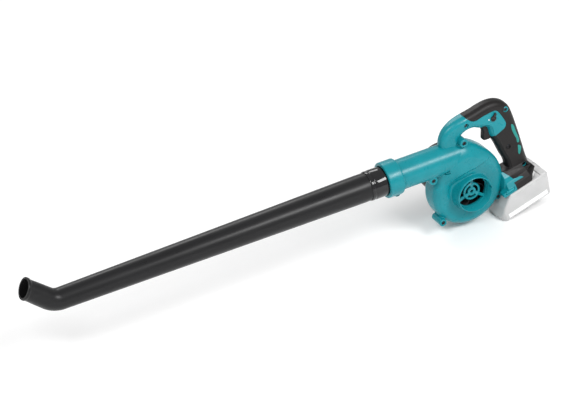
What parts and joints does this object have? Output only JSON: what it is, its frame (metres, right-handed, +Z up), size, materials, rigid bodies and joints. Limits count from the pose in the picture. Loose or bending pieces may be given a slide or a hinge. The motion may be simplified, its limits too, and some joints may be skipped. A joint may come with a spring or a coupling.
{
  "type": "leaf blower",
  "caption": "Hand-held cordless leaf blower: a snail-shaped fan case under a C handle with a trigger, a slide-on battery and a long tapered nozzle with an upturned tip.",
  "frame": {"origin": "centre of the bounding box's base", "axes": "+X from the nozzle's mouth to the battery, +Y from the air inlet to the motor, +Z up"},
  "size_m": [1.1126, 0.154, 0.2685],
  "materials": {
    "case_teal": "satin glass-filled nylon with a fine moulded texture",
    "soft_black": "soft over-moulded grip, matt",
    "hard_black": "moulded, satin",
    "gloss_black": "polished, with sharp highlights",
    "tube_black": "satin, drawn lines along the tube",
    "battery_grey": "satin light grey",
    "battery_dark": "satin mid grey",
    "fan_grey": "moulded, satin",
    "steel": "machined",
    "screw_steel": "blackened",
    "motor_steel": "rolled sheet",
    "core_steel": "stacked laminations with copper windings",
    "commutator_brass": "machined",
    "magnet": "sintered ferrite",
    "carbon": "pressed carbon",
    "cell": "shrink-wrapped can",
    "board": "circuit board"
  },
  "bodies": {
    "housing": {"brush_holder_left": "hard_black", "brush_holder_right": "hard_black", "brush_left": "carbon", "brush_right": "carbon", "fan_case_left": "case_teal", "fan_case_right": "case_teal", "front_bearing": "steel", "grip_cover_left": "soft_black", "grip_cover_right": "soft_black", "handle_left": "case_teal", "handle_right": "case_teal", "inlet_guard": "case_teal", "magnet_lower": "magnet", "magnet_upper": "magnet", "motor_bracket": "hard_black", "motor_can": "motor_steel", "motor_cover": "hard_black", "motor_housing": "case_teal", "outlet_collar": "case_teal", "rear_bearing": "steel", "screw_base": "screw_steel", "screw_case_bottom": "screw_steel", "screw_case_rear": "screw_steel", "screw_case_tongue": "screw_steel", "screw_case_top": "screw_steel", "screw_collar": "screw_steel", "screw_grip": "screw_steel", "screw_handle_front": "screw_steel", "screw_handle_rear": "screw_steel", "switch_module": "gloss_black", "terminal_block": "battery_dark"},
    "fan_rotor": {"fan_impeller": "fan_grey", "fan_nut": "steel", "motor_shaft": "steel", "armature": "core_steel", "commutator": "commutator_brass"},
    "trigger": {"trigger": "hard_black"},
    "lock_lever": {"lock_lever": "hard_black"},
    "nozzle_sleeve": {"nozzle_sleeve": "gloss_black"},
    "nozzle_tube": {"nozzle_tube": "tube_black"},
    "battery": {"battery_lower_case": "battery_grey", "battery_upper_case": "battery_grey", "battery_board": "board", "cell_01": "cell", "cell_02": "cell", "cell_03": "cell", "cell_04": "cell", "cell_05": "cell", "cell_06": "cell", "cell_07": "cell", "cell_08": "cell", "cell_09": "cell", "cell_10": "cell"},
    "battery_button": {"battery_button": "battery_dark"}
  },
  "joints": [
    {"name": "fan_spin", "type": "hinge", "parent": "housing", "child": "fan_rotor", "pos_m": [0.38266, -0.037, 0.09252], "axis": [0, 1, 0], "continuous": true},
    {"name": "trigger_pull", "type": "slide", "parent": "housing", "child": "trigger", "axis": [1, 0, 0], "range_m": [0, 0.006], "stiffness_N_per_m": 900, "springref_m": -0.004},
    {"name": "lock_lever_turn", "type": "hinge", "parent": "housing", "child": "lock_lever", "pos_m": [0.44866, -0.054, 0.23452], "axis": [0, 1, 0], "range_deg": [0, 45]},
    {"name": "sleeve_twist", "type": "hinge", "parent": "housing", "child": "nozzle_sleeve", "pos_m": [0.19666, -0.037, 0.17452], "axis": [1, 0, 0], "range_deg": [0, 30]},
    {"name": "tube_pull", "type": "slide", "parent": "nozzle_sleeve", "child": "nozzle_tube", "axis": [-1, 0, 0], "range_m": [0, 0.02]},
    {"name": "battery_slide", "type": "slide", "parent": "housing", "child": "battery", "axis": [0.9659, 0, 0.2588], "range_m": [0, 0.085]},
    {"name": "battery_button_press", "type": "slide", "parent": "battery", "child": "battery_button", "axis": [0.2588, 0, -0.9659], "range_m": [0, 0.004], "stiffness_N_per_m": 800, "springref_m": -0.003}
  ]
}
